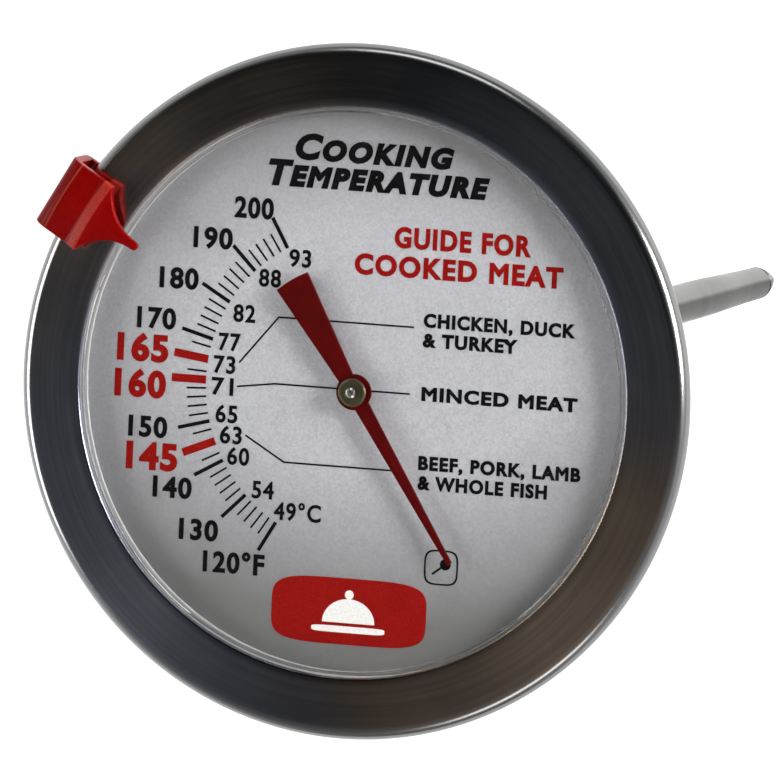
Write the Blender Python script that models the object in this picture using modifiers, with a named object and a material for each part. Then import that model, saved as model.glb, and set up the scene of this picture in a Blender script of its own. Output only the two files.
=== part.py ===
"""Dial meat thermometer: a wide-bezel dial head on a bimetal stem.

Frame: +Z points out of the dial towards the reader, +Y to twelve o'clock, +X to three o'clock.
The origin is on the stem's axis, in the plane of the head's flat back. Units are metres.
"""

import math

import bmesh
import bpy
from mathutils import Matrix

MM = 0.001
MERGE = 0.00001
RING_STEPS = 64              # facets round the head
STEM_STEPS = 24              # facets round the stem and the small turned pieces

# Driving dimensions, in millimetres
HEAD_RADIUS = 31.75          # rolled rim of a 2 1/2 inch head
OPENING_RADIUS = 26.0        # clear view of the dial
HEAD_DEPTH = 12.0            # back of the case to the flat of the bezel
SHEET = 0.4                  # pressed stainless sheet
GAP = 0.3                    # between pieces that rest on each other
STEM_LENGTH = 127.0          # back of the case to the point
STEM_RADIUS = 1.9
STEM_WALL = 0.35
SWAGE_START = -98.0          # the tube narrows from here down
SWAGE_RADIUS = 1.62          # stem radius where the point begins
POINT_LENGTH = 5.7
SPINDLE_RADIUS = 0.30
BUSHING_BORE = 0.37
NEEDLE_TIP = 17.9            # reach of the indicating end
NEEDLE_TAIL = 11.7           # reach of the broad end
NEEDLE_ANGLE = -56.8         # of the indicating tip, from three o'clock
NECK_ANGLE = 0.46            # half the angle of the tail where it meets the hub disc, radians
CLIP_ANGLE = 150.0           # of the marker clip, from three o'clock
CLIP_WIDTH = 6.9
CLIP_CORNER = 28.6           # where the clip's sides turn in to the tongue
TONGUE_END = 23.7            # inner end of the marker's tongue, from the stem's axis
TONGUE_HALF = 0.4

# Levels and radii worked out from them
ROLL_RADIUS = 1.15
ROLL_CENTRE = (HEAD_RADIUS - ROLL_RADIUS, HEAD_DEPTH - 1.3)
CASE_RADIUS = 27.2           # inside of the case wall, around crystal and dial
SEAT_RADIUS = CASE_RADIUS - GAP
FLANGE_TOP = HEAD_DEPTH - 1.35
CRYSTAL_TOP_OF_FLANGE = HEAD_DEPTH - SHEET - GAP
CRYSTAL_UNDERSIDE = CRYSTAL_TOP_OF_FLANGE - 0.55
GASKET_TOP = CRYSTAL_UNDERSIDE - GAP
DIAL_TOP = GASKET_TOP - 0.35 - GAP
DIAL_BOTTOM = DIAL_TOP - SHEET
SHOULDER_TOP = DIAL_BOTTOM - GAP
NEEDLE_BOTTOM = DIAL_TOP + 0.9
NEEDLE_TOP = NEEDLE_BOTTOM + 0.3
POINT_START = -STEM_LENGTH + POINT_LENGTH
STEM_BORE = STEM_RADIUS - STEM_WALL
SWAGE_BORE = SWAGE_RADIUS - STEM_WALL
TUBE_TOP = 4.0
SPIGOT_LENGTH = 1.8          # of the point, inside the tube
HUB_HEAD_RADIUS = 1.31
HUB_HEAD_HEIGHT = 0.25
WELL_RADIUS = 5.3            # shallow well in the flat back, round the stem
WELL_DEPTH = 0.9
STEM_HOLE = 3.2
CORNER_RADIUS = 3.0          # between the flat back and the case wall
HELIX_TOP = SWAGE_START + 0.4
HELIX_TURNS = 11
HELIX_PITCH = 1.7
HELIX_RADIUS = 0.86

STEEL = ((0.62, 0.62, 0.61), 0.28, 1.0)
BRIGHT = ((0.72, 0.72, 0.72), 0.15, 1.0)
DIAL_SILVER = ((0.66, 0.67, 0.69), 0.45, 0.6)
RUBBER = ((0.05, 0.05, 0.05), 0.7, 0.0)
CLEAR = ((0.92, 0.95, 0.96), 0.05, 0.0)
RED_PAINT = ((0.25, 0.01, 0.01), 0.35, 0.0)
RED_PLASTIC = ((0.45, 0.01, 0.01), 0.3, 0.0)
NICKEL = ((0.42, 0.41, 0.34), 0.3, 1.0)
BRASS = ((0.70, 0.52, 0.25), 0.35, 1.0)
BIMETAL = ((0.48, 0.44, 0.38), 0.35, 1.0)


def clear_scene():
    for old in list(bpy.data.objects):
        bpy.data.objects.remove(old, do_unlink=True)


def make_collection(name):
    found = bpy.data.collections.get(name) or bpy.data.collections.new(name)
    if found.name not in bpy.context.scene.collection.children:
        bpy.context.scene.collection.children.link(found)
    return found


def finish_object(obj, collection, look):
    """Link the object, give it its own material and smooth its round faces."""
    colour, roughness, metallic = look
    material = bpy.data.materials.new(obj.name + "_material")
    material.use_nodes = True
    shader = material.node_tree.nodes["Principled BSDF"]
    shader.inputs["Base Color"].default_value = (*colour, 1.0)
    shader.inputs["Roughness"].default_value = roughness
    shader.inputs["Metallic"].default_value = metallic
    obj.data.materials.clear()
    obj.data.materials.append(material)
    if obj.name not in collection.objects:
        collection.objects.link(obj)
    if isinstance(obj.data, bpy.types.Mesh):
        obj.data.shade_smooth()
        obj.data.set_sharp_from_angle(angle=math.radians(35))
    return obj


def turned(name, profile, collection, look, steps=RING_STEPS, closed=False):
    """Turn a profile of (radius, height) points about Z, listed down its outer side."""
    mesh = bpy.data.meshes.new(name)
    shape = bmesh.new()
    points = [shape.verts.new((r * MM, 0.0, z * MM)) for r, z in profile]
    for first, second in zip(points, points[1:]):
        shape.edges.new((first, second))
    if closed:
        shape.edges.new((points[-1], points[0]))
    shape.to_mesh(mesh)
    shape.free()
    obj = bpy.data.objects.new(name, mesh)
    finish_object(obj, collection, look)
    screw = obj.modifiers.new("turn", "SCREW")
    screw.axis = "Z"
    screw.angle = 2 * math.pi
    screw.steps = steps
    screw.render_steps = steps
    screw.use_merge_vertices = True
    screw.merge_threshold = MERGE
    return obj


def arc(centre, radius, start, end, count):
    """Points (radius, height) on an arc, angles in degrees from the outward direction."""
    points = []
    for i in range(count + 1):
        angle = math.radians(start + (end - start) * i / count)
        points.append((centre[0] + radius * math.cos(angle), centre[1] + radius * math.sin(angle)))
    return points


def outline_mesh(name, points, half_thickness):
    """Extrude a flat closed outline (millimetres, in XY) both ways along Z, as a welded mesh."""
    curve = bpy.data.curves.new(name, "CURVE")
    curve.dimensions = "2D"
    curve.fill_mode = "BOTH"
    curve.extrude = half_thickness * MM
    loops = points if isinstance(points[0], list) else [points]
    for loop in loops:
        spline = curve.splines.new("POLY")
        spline.points.add(len(loop) - 1)
        for point, (x, y) in zip(spline.points, loop):
            point.co = (x * MM, y * MM, 0.0, 1.0)
        spline.use_cyclic_u = True
    holder = bpy.data.objects.new(name + "_outline", curve)
    bpy.context.scene.collection.objects.link(holder)
    bpy.context.view_layer.update()
    graph = bpy.context.evaluated_depsgraph_get()
    mesh = bpy.data.meshes.new_from_object(holder.evaluated_get(graph))
    bpy.data.objects.remove(holder)
    bpy.data.curves.remove(curve)
    shape = bmesh.new()
    shape.from_mesh(mesh)
    bmesh.ops.remove_doubles(shape, verts=shape.verts, dist=0.000001)
    bmesh.ops.recalc_face_normals(shape, faces=shape.faces)
    shape.to_mesh(mesh)
    shape.free()
    mesh.name = name
    return mesh


def bezel_ring(collection):
    """Flat pressed ring, a little coned, with a rolled outer rim that closes under the case flange."""
    edge = ROLL_CENTRE[0]
    top = ROLL_CENTRE[1] + ROLL_RADIUS
    lip = (OPENING_RADIUS + 0.15, HEAD_DEPTH - 0.15)
    profile = arc(lip, 0.15, 180, 90, 2)
    profile += [(edge, top)]
    profile += arc(ROLL_CENTRE, ROLL_RADIUS, 72, -108, 10)
    profile += arc(ROLL_CENTRE, ROLL_RADIUS - SHEET, -108, 90, 6)
    profile += [(OPENING_RADIUS, HEAD_DEPTH - SHEET)]
    return turned("bezel_ring", profile, collection, STEEL, closed=True)


def case_back(collection):
    """Drawn cup: flat back with a well round the stem's hole, a dial shoulder and a top flange."""
    wall = SEAT_RADIUS - 1.0
    corner = (wall + SHEET - CORNER_RADIUS, CORNER_RADIUS)
    flange_bottom = FLANGE_TOP - SHEET
    profile = [(CASE_RADIUS + 0.2, FLANGE_TOP), (ROLL_CENTRE[0] + 0.1, FLANGE_TOP)]
    profile += [(ROLL_CENTRE[0] + 0.1, flange_bottom), (CASE_RADIUS + SHEET, flange_bottom)]
    profile += [(CASE_RADIUS + SHEET, SHOULDER_TOP - SHEET), (wall + SHEET, SHOULDER_TOP - SHEET)]
    profile += arc(corner, CORNER_RADIUS, 0, -90, 4)
    profile += [(WELL_RADIUS + 0.25, 0.0), (WELL_RADIUS, WELL_DEPTH), (STEM_HOLE, WELL_DEPTH)]
    profile += [(STEM_HOLE, WELL_DEPTH + SHEET), (WELL_RADIUS + 0.3, WELL_DEPTH + SHEET)]
    profile += [(WELL_RADIUS + 0.6, SHEET)]
    profile += arc(corner, CORNER_RADIUS - SHEET, -90, 0, 4)
    profile += [(wall, SHOULDER_TOP), (CASE_RADIUS, SHOULDER_TOP), (CASE_RADIUS, FLANGE_TOP - 0.15)]
    return turned("case_back", profile, collection, STEEL, closed=True)


def flat_ring(name, inner, outer, bottom, top, collection, look, steps=RING_STEPS):
    profile = [(outer, top), (outer, bottom), (inner, bottom), (inner, top)]
    return turned(name, profile, collection, look, steps=steps, closed=True)


def crystal(collection):
    """Clear moulded window: a flange under the bezel, a round shoulder and a shallow dome."""
    rim = OPENING_RADIUS - 0.35
    flange_inner = rim - 0.8
    crown = HEAD_DEPTH + 1.35
    shoulder = (rim - 0.7, HEAD_DEPTH + 0.05)
    thickness = 0.8
    profile = dome_points(crown, shoulder[1] + 0.7, shoulder[0], 5)
    profile += arc(shoulder, 0.7, 70, 0, 3)
    profile += [(rim, CRYSTAL_TOP_OF_FLANGE), (SEAT_RADIUS, CRYSTAL_TOP_OF_FLANGE)]
    profile += [(SEAT_RADIUS, CRYSTAL_UNDERSIDE), (flange_inner, CRYSTAL_UNDERSIDE)]
    profile += [(flange_inner, shoulder[1] - 0.35), (flange_inner - 0.3, shoulder[1] - 0.1)]
    inner = dome_points(crown - thickness, shoulder[1] - 0.05, shoulder[0] - 0.6, 4)
    profile += inner[::-1]
    return turned("crystal", profile, collection, CLEAR)


def dome_points(crown, edge_height, edge_radius, count):
    """Points on a shallow spherical cap, from its crown on the axis out to its edge."""
    rise = crown - edge_height
    sphere = (edge_radius ** 2 + rise ** 2) / (2 * rise)
    points = []
    for i in range(count + 1):
        r = edge_radius * i / count
        points.append((r, crown - sphere + math.sqrt(sphere ** 2 - r ** 2)))
    return points


def pointer(collection):
    """Flat needle: narrow indicating end, broad round-ended tail and a disc with the hub's hole."""
    hub, hub_half = 1.65, 0.70
    tip_half, tail_half = 0.22, 1.68
    tip_joint = math.sqrt(hub ** 2 - hub_half ** 2)
    outline = [(NEEDLE_TIP, -tip_half), (NEEDLE_TIP, tip_half), (tip_joint, hub_half)]
    outline += polar_arc(hub, math.asin(hub_half / hub) + 0.15, math.pi - NECK_ANGLE, 14)
    outline += tail_end(NEEDLE_TAIL, tail_half, 1)
    outline += tail_end(NEEDLE_TAIL, tail_half, -1)
    outline += polar_arc(hub, math.pi + NECK_ANGLE, 2 * math.pi - math.asin(hub_half / hub) - 0.15, 14)
    outline += [(tip_joint, -hub_half)]
    hole = polar_arc(1.1, 0.0, -2 * math.pi * 23 / 24, 23)
    mesh = outline_mesh("pointer", [outline, hole], (NEEDLE_TOP - NEEDLE_BOTTOM) / 2)
    obj = bpy.data.objects.new("pointer", mesh)
    obj.location = (0.0, 0.0, (NEEDLE_TOP + NEEDLE_BOTTOM) / 2 * MM)
    obj.rotation_euler = (0.0, 0.0, math.radians(NEEDLE_ANGLE))
    return finish_object(obj, collection, RED_PAINT)


def polar_arc(radius, start, end, count):
    """Points (x, y) on an arc about the origin, angles in radians."""
    points = []
    for i in range(count + 1):
        angle = start + (end - start) * i / count
        points.append((radius * math.cos(angle), radius * math.sin(angle)))
    return points


def tail_end(length, half_width, side):
    """Half of the tail's end, an arc about the spindle, on one side of the needle's line."""
    spread = math.asin(half_width / length)
    points = []
    for i in range(6):
        angle = math.pi - side * spread * (1 - i / 6)
        points.append((length * math.cos(angle), length * math.sin(angle)))
    return points if side > 0 else [(-length, 0.0)] + points[::-1]


def pointer_hub(collection):
    """Turned boss that carries the needle between a collar and a head."""
    head_bottom = NEEDLE_TOP + GAP
    head_top = head_bottom + HUB_HEAD_HEIGHT
    collar_top, collar_bottom = NEEDLE_BOTTOM - GAP, DIAL_TOP + 0.2
    neck, collar = 0.8, 1.2
    profile = [(BUSHING_BORE, head_top), (HUB_HEAD_RADIUS - 0.1, head_top)]
    profile += [(HUB_HEAD_RADIUS, head_top - 0.08), (HUB_HEAD_RADIUS, head_bottom), (neck, head_bottom)]
    profile += [(neck, collar_top), (collar, collar_top), (collar, collar_bottom)]
    profile += [(BUSHING_BORE, collar_bottom)]
    return turned("pointer_hub", profile, collection, NICKEL, steps=STEM_STEPS, closed=True)


def spindle(collection):
    """Thin shaft from the bimetal to the needle, with its upper end staked over the hub."""
    staked = NEEDLE_TOP + GAP + HUB_HEAD_HEIGHT + GAP
    bottom = HELIX_TOP + 1.0
    head = 0.47
    profile = [(0.0, staked + 0.16), (0.3, staked + 0.14), (head, staked + 0.04), (head, staked)]
    profile += [(SPINDLE_RADIUS, staked), (SPINDLE_RADIUS, bottom), (0.0, bottom)]
    return turned("spindle", profile, collection, BRIGHT, steps=STEM_STEPS)


def bushing(name, bottom, top, outer, collection):
    profile = [(outer - 0.15, top), (outer, top - 0.15), (outer, bottom), (BUSHING_BORE, bottom)]
    profile += [(BUSHING_BORE, top)]
    return turned(name, profile, collection, BRASS, steps=STEM_STEPS, closed=True)


def bimetal_helix(collection):
    """Flat bimetal strip wound on edge round the stem's axis."""
    curve = bpy.data.curves.new("bimetal_helix", "CURVE")
    curve.dimensions = "3D"
    curve.twist_mode = "Z_UP"
    curve.extrude = 0.40 * MM
    curve.bevel_depth = 0.09 * MM
    curve.bevel_resolution = 0
    curve.use_fill_caps = True
    per_turn = 10
    count = HELIX_TURNS * per_turn
    spline = curve.splines.new("POLY")
    spline.points.add(count)
    for i, point in enumerate(spline.points):
        angle = 2 * math.pi * i / per_turn
        height = HELIX_TOP - 0.5 - HELIX_PITCH * i / per_turn
        x, y = HELIX_RADIUS * math.cos(angle), HELIX_RADIUS * math.sin(angle)
        point.co = (x * MM, y * MM, height * MM, 1.0)
    obj = bpy.data.objects.new("bimetal_helix", curve)
    return finish_object(obj, collection, BIMETAL)


def stem_tube(collection):
    """Thin-walled stainless tube, swaged a little narrower towards the point."""
    end = POINT_START + GAP
    profile = [(STEM_RADIUS, TUBE_TOP), (STEM_RADIUS, SWAGE_START), (SWAGE_RADIUS, end)]
    profile += [(SWAGE_BORE, end), (STEM_BORE, SWAGE_START), (STEM_BORE, TUBE_TOP)]
    return turned("stem_tube", profile, collection, BRIGHT, steps=STEM_STEPS, closed=True)


def stem_tip(collection):
    """Solid ground point with a spigot that is welded into the tube."""
    spigot = SWAGE_BORE - 0.1
    tip = -STEM_LENGTH
    spigot_top = POINT_START + SPIGOT_LENGTH
    profile = [(0.0, spigot_top), (spigot - 0.15, spigot_top), (spigot, spigot_top - 0.2)]
    profile += [(spigot, POINT_START), (SWAGE_RADIUS, POINT_START)]
    nose = 0.45
    for i in range(1, 7):
        along = i / 7
        radius = nose + (SWAGE_RADIUS - nose) * (1 - along ** 1.25)
        profile.append((radius, POINT_START - (POINT_LENGTH - 0.4) * along))
    profile += [(nose, tip + 0.35), (nose * 0.7, tip + 0.1), (0.0, tip)]
    return turned("stem_tip", profile, collection, BRIGHT, steps=STEM_STEPS)


def stem_collar(collection):
    """Flanged ferrule that joins the stem to the case back; its neck is staked inside."""
    bore = STEM_RADIUS + 0.1
    neck = STEM_HOLE - GAP
    seat = WELL_DEPTH - GAP
    profile = [(bore, 3.3), (neck, 3.3), (neck, seat), (4.7, seat), (4.7, -0.5), (4.3, -0.9)]
    profile += [(3.2, -1.1), (2.9, -4.2), (2.5, -5.0), (bore, -5.2)]
    return turned("stem_collar", profile, collection, STEEL, steps=STEM_STEPS, closed=True)


def marker_clip(collection, cutters):
    """Sprung plastic marker: a hook round the rolled rim, a flat top and a pointed tongue."""
    top = HEAD_DEPTH + 1.15
    under = HEAD_DEPTH + GAP
    foot = ROLL_CENTRE[1] - ROLL_RADIUS - GAP
    outer = HEAD_RADIUS + 1.75
    inner = HEAD_RADIUS + 0.3
    ridge = top + 0.45
    section = [(TONGUE_END, under + 0.72), (TONGUE_END, top + 0.28), (28.8, ridge), (29.8, ridge - 0.34)]
    section += [(31.95, top), (32.25, top - 0.25)]
    section += arc((outer - 0.75, top - 0.6), 0.75, 105, 0, 6)
    section += arc((outer - 0.5, foot - 0.35), 0.5, 0, -90, 3)
    section += [(30.7, foot - 0.85), (30.4, foot - 0.45), (30.7, foot), (inner, foot)]
    section += [(inner, under - 0.3), (inner - 0.3, under), (30.2, under + 0.15)]
    section += [(29.2, under + 0.3), (26.6, under + 0.62)]
    side = outline_mesh("marker_section", section, CLIP_WIDTH / 2 + 2.0)
    side.transform(Matrix.Rotation(math.radians(90), 4, "X"))
    half = CLIP_WIDTH / 2
    edge = [(outer + 1.0, half), (CLIP_CORNER, half)]
    for i in range(1, 9):
        along = i / 9
        width = TONGUE_HALF + (half - 0.3 - TONGUE_HALF) * (1 - along) ** 2.6
        edge.append((CLIP_CORNER + (TONGUE_END + 0.1 - CLIP_CORNER) * along, width))
    for i in range(4):
        angle = math.radians(90 * i / 4)
        edge.append((TONGUE_END + TONGUE_HALF * (1 - math.sin(angle)), TONGUE_HALF * math.cos(angle)))
    plan = edge + [(TONGUE_END, 0.0)] + [(x, -y) for x, y in reversed(edge)]
    blank = outline_mesh("marker_clip", plan, 8.0)
    blank.transform(Matrix.Translation((0.0, 0.0, HEAD_DEPTH * MM)))
    cutter = bpy.data.objects.new("marker_section", side)
    cutter.hide_render = True
    cutter.display_type = "WIRE"
    cutters.objects.link(cutter)
    obj = bpy.data.objects.new("marker_clip", blank)
    turn = math.radians(CLIP_ANGLE)
    obj.rotation_euler = (0.0, 0.0, turn)
    cutter.rotation_euler = (0.0, 0.0, turn)
    finish_object(obj, collection, RED_PLASTIC)
    cut = obj.modifiers.new("section", "BOOLEAN")
    cut.operation = "INTERSECT"
    cut.solver = "EXACT"
    cut.object = cutter
    return obj


def main():
    clear_scene()
    parts = make_collection("meat_thermometer")
    cutters = make_collection("cutters")
    bezel_ring(parts)
    case_back(parts)
    seal_bottom = FLANGE_TOP + GAP
    flat_ring("rim_seal", 28.2, 30.0, seal_bottom, seal_bottom + 0.2, parts, RUBBER)
    crystal(parts)
    flat_ring("crystal_gasket", 26.0, SEAT_RADIUS, GASKET_TOP - 0.35, GASKET_TOP, parts, RUBBER)
    flat_ring("dial_plate", 1.0, SEAT_RADIUS, DIAL_BOTTOM, DIAL_TOP, parts, DIAL_SILVER)
    moving = [pointer(parts), pointer_hub(parts), spindle(parts)]
    helix_collar_bottom = HELIX_TOP + 0.2
    moving.append(bushing("helix_collar", helix_collar_bottom, helix_collar_bottom + 1.3, 1.2, parts))
    washer_bottom = WELL_DEPTH + SHEET + GAP
    flat_ring("stake_washer", STEM_HOLE, 5.0, washer_bottom, washer_bottom + 0.6, parts, STEEL, STEM_STEPS)
    bushing("upper_bushing", -1.0, TUBE_TOP - 0.2, STEM_BORE - 0.1, parts)
    bushing("middle_bushing", SWAGE_START / 2 + 1.0, SWAGE_START / 2 + 3.0, STEM_BORE - 0.1, parts)
    bushing("lower_bushing", SWAGE_START + 3.0, SWAGE_START + 5.0, STEM_BORE - 0.1, parts)
    bimetal_helix(parts)
    anchor_top = HELIX_TOP - 1.2 - HELIX_PITCH * HELIX_TURNS
    anchor = [(0.0, anchor_top), (1.0, anchor_top), (1.1, anchor_top - 0.15)]
    anchor += [(1.1, anchor_top - 1.2), (0.0, anchor_top - 1.2)]
    turned("helix_anchor", anchor, parts, BRASS, steps=STEM_STEPS)
    stem_tube(parts)
    stem_tip(parts)
    stem_collar(parts)
    clip = marker_clip(parts, cutters)
    rotor = bpy.data.objects.new("rotor_axis", None)
    rim = bpy.data.objects.new("rim_axis", None)
    for empty, children in ((rotor, moving), (rim, [clip])):
        parts.objects.link(empty)
        for child in children:
            child.parent = empty


main()
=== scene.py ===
import math
import bmesh
import bpy
import numpy as np
from mathutils import Matrix, Vector


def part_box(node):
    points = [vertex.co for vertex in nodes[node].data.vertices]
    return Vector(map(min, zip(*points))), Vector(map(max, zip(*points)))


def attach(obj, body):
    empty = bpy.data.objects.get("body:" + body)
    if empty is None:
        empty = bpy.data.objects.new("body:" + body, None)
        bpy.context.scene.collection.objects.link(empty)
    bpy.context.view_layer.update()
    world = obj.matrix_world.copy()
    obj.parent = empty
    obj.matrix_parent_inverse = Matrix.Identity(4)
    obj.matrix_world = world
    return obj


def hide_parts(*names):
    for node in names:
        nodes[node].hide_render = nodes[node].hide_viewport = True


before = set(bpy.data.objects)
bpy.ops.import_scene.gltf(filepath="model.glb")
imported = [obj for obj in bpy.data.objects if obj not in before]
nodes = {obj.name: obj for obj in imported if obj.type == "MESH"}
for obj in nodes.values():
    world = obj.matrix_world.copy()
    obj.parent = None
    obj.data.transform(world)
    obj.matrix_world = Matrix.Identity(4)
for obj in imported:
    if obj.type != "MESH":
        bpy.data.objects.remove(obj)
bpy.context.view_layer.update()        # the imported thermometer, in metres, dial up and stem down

mm = 0.001

# levels and radii that every piece is placed by
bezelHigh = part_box("bezel_ring")[1]
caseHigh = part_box("case_back")[1]
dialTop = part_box("dial_plate")[1].z
crystalLow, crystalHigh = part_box("crystal")
stemLow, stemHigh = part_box("stem_tube")
tipLow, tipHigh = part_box("stem_tip")
headRadius = bezelHigh.x / mm
bezelTop = bezelHigh.z / mm
inkLevel = dialTop / mm + 0.01


def newObject(name, mesh, body, material):
    piece = bpy.data.objects.new(name, mesh)
    bpy.context.scene.collection.objects.link(piece)
    mesh.materials.clear()
    mesh.materials.append(material)
    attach(piece, body)
    return piece


def meshOf(name, points, faces, sharpDegrees=40.0):
    # points in millimetres, faces as lists of corner numbers
    mesh = bpy.data.meshes.new(name)
    mesh.from_pydata((np.asarray(points, float) * mm).tolist(), [], faces)
    mesh.update()
    if sharpDegrees:
        mesh.shade_smooth()
        mesh.set_sharp_from_angle(angle=math.radians(sharpDegrees))
    return mesh


def lathe(name, profile, steps=256, loop=False, sharpDegrees=40.0):
    # point(i, k) = (r_i cos a_k, r_i sin a_k, z_i), with a_k going once round the stem's axis;
    # the profile runs down its outer side, and an end on the axis closes to one point
    radius, height = np.array(profile, float).T
    angle = np.linspace(0.0, 2 * np.pi, steps, endpoint=False)
    grid = np.stack([np.outer(radius, np.cos(angle)), np.outer(radius, np.sin(angle)),
                     np.outer(height, np.ones(steps))], axis=-1)
    topPole = not loop and radius[0] < 1e-6
    endPole = not loop and radius[-1] < 1e-6
    rings = np.arange(len(radius))[int(topPole):len(radius) - int(endPole)]
    points = grid[rings].reshape(-1, 3)
    count = len(rings)
    k = np.arange(steps)
    nextK = (k + 1) % steps
    rows = np.arange(count if loop else count - 1)
    below = (rows + 1) % count
    quads = np.stack([rows[:, None] * steps + k, below[:, None] * steps + k,
                      below[:, None] * steps + nextK, rows[:, None] * steps + nextK], axis=-1)
    faces = quads.reshape(-1, 4).tolist()
    if topPole:
        pole = len(points)
        points = np.vstack([points, [[0.0, 0.0, height[0]]]])
        faces += np.stack([np.full(steps, pole), k, nextK], axis=-1).tolist()
    if endPole:
        pole = len(points)
        points = np.vstack([points, [[0.0, 0.0, height[-1]]]])
        last = (count - 1) * steps
        faces += np.stack([last + k, np.full(steps, pole), last + nextK], axis=-1).tolist()
    return meshOf(name, points, faces, sharpDegrees)


def arc(centre, radius, start, end, count=8):
    # points (radius, height) = centre + radius (cos a, sin a), a in degrees from start to end
    a = np.radians(np.linspace(start, end, count + 1))
    return np.stack([centre[0] + radius * np.cos(a), centre[1] + radius * np.sin(a)], axis=-1).tolist()


def plate(outline, low, high):
    # a thin closed slab: the outline at two heights, each fanned from the outline's mean point
    outline = np.asarray(outline, float)
    count = len(outline)
    middle = outline.mean(axis=0)
    upper = np.column_stack([outline, np.full(count, high)])
    lower = np.column_stack([outline, np.full(count, low)])
    points = np.vstack([upper, lower, [[*middle, high]], [[*middle, low]]])
    k = np.arange(count)
    n = (k + 1) % count
    faces = np.stack([np.full(count, 2 * count), k, n], axis=-1).tolist()
    faces += np.stack([np.full(count, 2 * count + 1), count + n, count + k], axis=-1).tolist()
    faces += np.stack([k, count + k, count + n, n], axis=-1).tolist()
    return points, faces


def ribbon(path, width, low, high):
    # a flat line of even width: each path point is offset both ways along its mitred normal
    path = np.asarray(path, float)
    step = np.diff(path, axis=0)
    step /= np.linalg.norm(step, axis=1)[:, None]
    before = np.vstack([step[:1], step])
    after = np.vstack([step, step[-1:]])
    normal = np.stack([-(before + after)[:, 1], (before + after)[:, 0]], axis=-1)
    normal /= np.linalg.norm(normal, axis=1)[:, None]
    square = np.stack([-before[:, 1], before[:, 0]], axis=-1)
    reach = width / 2 / (normal * square).sum(axis=1)
    left, right = path + normal * reach[:, None], path - normal * reach[:, None]
    count = len(path)
    flat = np.vstack([left, right])
    points = np.vstack([np.column_stack([flat, np.full(2 * count, high)]),
                        np.column_stack([flat, np.full(2 * count, low)])])
    i = np.arange(count - 1)
    under = 2 * count
    faces = np.stack([i, i + count, i + count + 1, i + 1], axis=-1).tolist()
    faces += np.stack([under + i, under + i + 1, under + i + count + 1, under + i + count], axis=-1).tolist()
    faces += np.stack([i, i + 1, under + i + 1, under + i], axis=-1).tolist()
    faces += np.stack([count + i, under + count + i, under + count + i + 1, count + i + 1], axis=-1).tolist()
    e = count - 1
    faces += [[0, under, under + count, count], [e, count + e, under + count + e, under + e]]
    return points, faces


def joined(parts):
    # several (points, faces) pairs as one
    points, faces, start = [], [], 0
    for somePoints, someFaces in parts:
        points.append(np.asarray(somePoints, float))
        faces += [[c + start for c in face] for face in someFaces]
        start += len(somePoints)
    return np.vstack(points), faces


def newMaterial(name, colour, roughness, metallic=0.0):
    material = bpy.data.materials.new(name)
    material.use_nodes = True
    shader = material.node_tree.nodes["Principled BSDF"]
    shader.inputs["Base Color"].default_value = (*colour, 1.0)
    shader.inputs["Roughness"].default_value = roughness
    shader.inputs["Metallic"].default_value = metallic
    return material, material.node_tree, shader


def mathNode(tree, operation, first, second=None):
    node = tree.nodes.new("ShaderNodeMath")
    node.operation = operation
    for socket, value in zip(node.inputs, (first, second)):
        if value is None:
            continue
        if isinstance(value, (int, float)):
            socket.default_value = value
        else:
            tree.links.new(value, socket)
    return node.outputs[0]


def vectorNode(tree, operation, first, second=None):
    # a vector sum, product or length; the second vector, where there is one, is a fixed one
    node = tree.nodes.new("ShaderNodeVectorMath")
    node.operation = operation
    tree.links.new(first, node.inputs[0])
    if second is not None:
        node.inputs[1].default_value = second
    return node.outputs["Value"] if operation == "LENGTH" else node.outputs[0]


def ownPlace(tree):
    # the point's place on its own piece, which a pose doesn't change
    return tree.nodes.new("ShaderNodeTexCoord").outputs["Object"]


def axesOf(tree, vector):
    node = tree.nodes.new("ShaderNodeSeparateXYZ")
    tree.links.new(vector, node.inputs[0])
    return node.outputs


def flatPlace(tree):
    # the point's place with its height left out, whose length is its distance from the stem's axis
    return vectorNode(tree, "MULTIPLY", ownPlace(tree), (1.0, 1.0, 0.0))


def ringCoordinates(tree, across, around):
    # a vector that changes fast with the distance from the axis and with height, slowly round it:
    # (across (radius + height), around x / radius, around y / radius)
    place = ownPlace(tree)
    x, y, z = axesOf(tree, place)
    radius = vectorNode(tree, "LENGTH", vectorNode(tree, "MULTIPLY", place, (1.0, 1.0, 0.0)))
    safe = mathNode(tree, "MAXIMUM", radius, 0.0001)
    join = tree.nodes.new("ShaderNodeCombineXYZ")
    reach = mathNode(tree, "ADD", radius, z)
    tree.links.new(mathNode(tree, "MULTIPLY", reach, across), join.inputs[0])
    tree.links.new(mathNode(tree, "MULTIPLY", mathNode(tree, "DIVIDE", x, safe), around), join.inputs[1])
    tree.links.new(mathNode(tree, "MULTIPLY", mathNode(tree, "DIVIDE", y, safe), around), join.inputs[2])
    return join.outputs[0]


def objectNoise(tree, scale, detail=3.0, vector=None):
    noise = tree.nodes.new("ShaderNodeTexNoise")
    noise.inputs["Scale"].default_value = scale
    noise.inputs["Detail"].default_value = detail
    tree.links.new(ownPlace(tree) if vector is None else vector, noise.inputs["Vector"])
    return noise.outputs["Fac"]


def spread(tree, value, low, high, fromLow=0.3, fromHigh=0.7):
    # carries fromLow..fromHigh to low..high in a straight line, held at both ends
    node = tree.nodes.new("ShaderNodeMapRange")
    tree.links.new(value, node.inputs["Value"])
    for key, number in (("From Min", fromLow), ("From Max", fromHigh), ("To Min", low), ("To Max", high)):
        node.inputs[key].default_value = number
    return node.outputs[0]


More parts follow.
